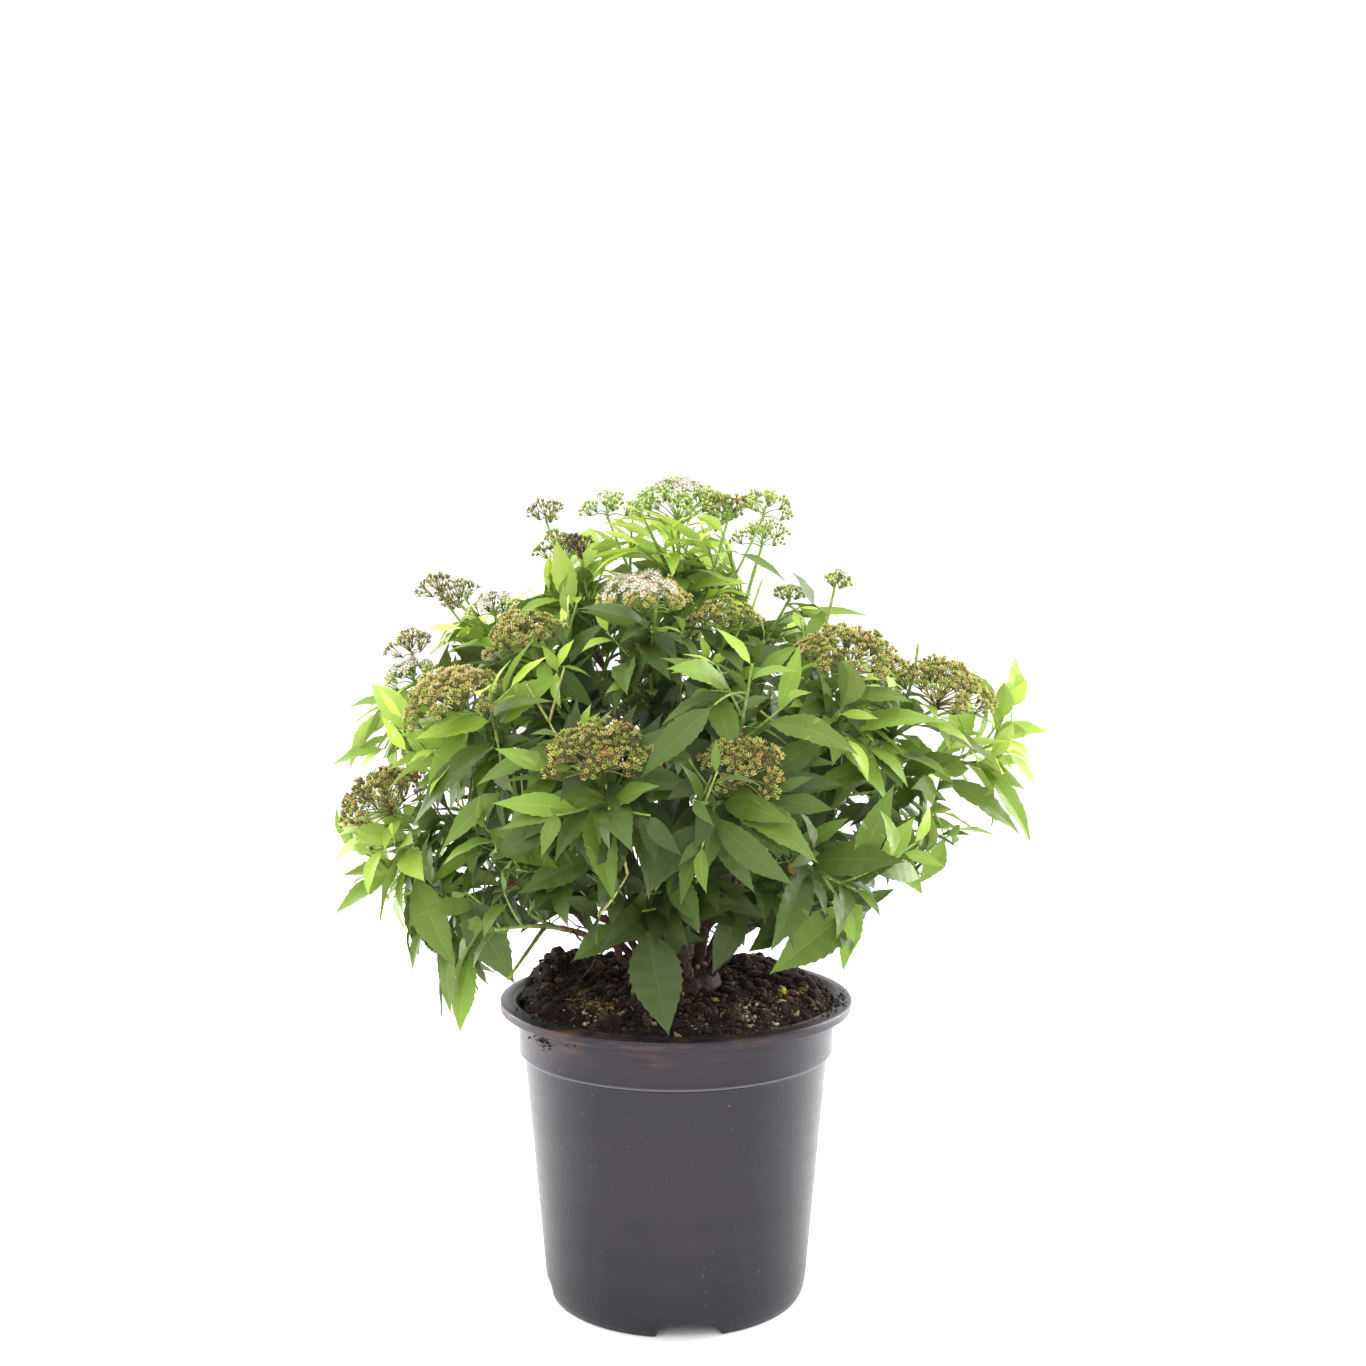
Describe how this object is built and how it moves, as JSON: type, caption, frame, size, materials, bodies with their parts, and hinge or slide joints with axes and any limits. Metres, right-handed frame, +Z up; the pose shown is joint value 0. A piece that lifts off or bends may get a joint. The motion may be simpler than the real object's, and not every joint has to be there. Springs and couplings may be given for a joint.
{
  "type": "spirea shrub in a nursery pot",
  "caption": "Young flowering spirea shrub growing in a round plastic nursery pot, with arching stems, pointed leaves and flat-topped flower heads.",
  "frame": {"origin": "middle of the pot's underside, on the flat of its centre foot", "axes": "+Z up; +X to the right and -Y towards someone who stands in front of the plant"},
  "size_m": [0.371, 0.3721, 0.4387],
  "materials": {
    "pot_plastic": "satin injection-moulded polypropylene, dark charcoal grey",
    "potting_compost": "coarse moist peat and bark compost, dark brown",
    "bark": "thin reddish-brown bark, slightly ridged",
    "leaf": "fresh green leaves with a soft sheen, and flat-topped heads of blossom, buds and seed capsules"
  },
  "bodies": {
    "root": {"pot": "pot_plastic", "soil": "potting_compost", "root_crown": "bark", "bough_back": "bark", "bough_back_left": "bark", "bough_back_right": "bark", "bough_front_left": "bark", "bough_front_middle_left": "bark", "bough_front_middle_right": "bark", "bough_front_right": "bark", "bough_left": "bark", "bough_left_front": "bark", "bough_left_low": "bark", "bough_left_spire": "bark", "bough_right": "bark", "bough_right_tip": "bark", "bough_shoulder_back": "bark", "bough_shoulder_left": "bark", "bough_shoulder_right": "bark", "bough_skirt_back_left": "bark", "bough_skirt_back_right": "bark", "bough_skirt_front": "bark", "bough_skirt_front_left": "bark", "bough_skirt_front_right": "bark", "bough_skirt_left": "bark", "bough_skirt_right": "bark", "bough_top": "bark", "bough_top_back": "bark", "bough_top_front": "bark", "bough_top_left": "bark", "bough_top_right": "bark", "mass_back": "leaf", "mass_back_left": "leaf", "mass_back_right": "leaf", "mass_front_left": "leaf", "mass_front_middle_left": "leaf", "mass_front_middle_right": "leaf", "mass_front_right": "leaf", "mass_left": "leaf", "mass_left_front": "leaf", "mass_left_low": "leaf", "mass_left_spire": "leaf", "mass_right": "leaf", "mass_right_tip": "leaf", "mass_shoulder_back": "leaf", "mass_shoulder_left": "leaf", "mass_shoulder_right": "leaf", "mass_skirt_back_left": "leaf", "mass_skirt_back_right": "leaf", "mass_skirt_front": "leaf", "mass_skirt_front_left": "leaf", "mass_skirt_front_right": "leaf", "mass_skirt_left": "leaf", "mass_skirt_right": "leaf", "mass_top": "leaf", "mass_top_back": "leaf", "mass_top_front": "leaf", "mass_top_left": "leaf", "mass_top_right": "leaf"}
  },
  "joints": []
}
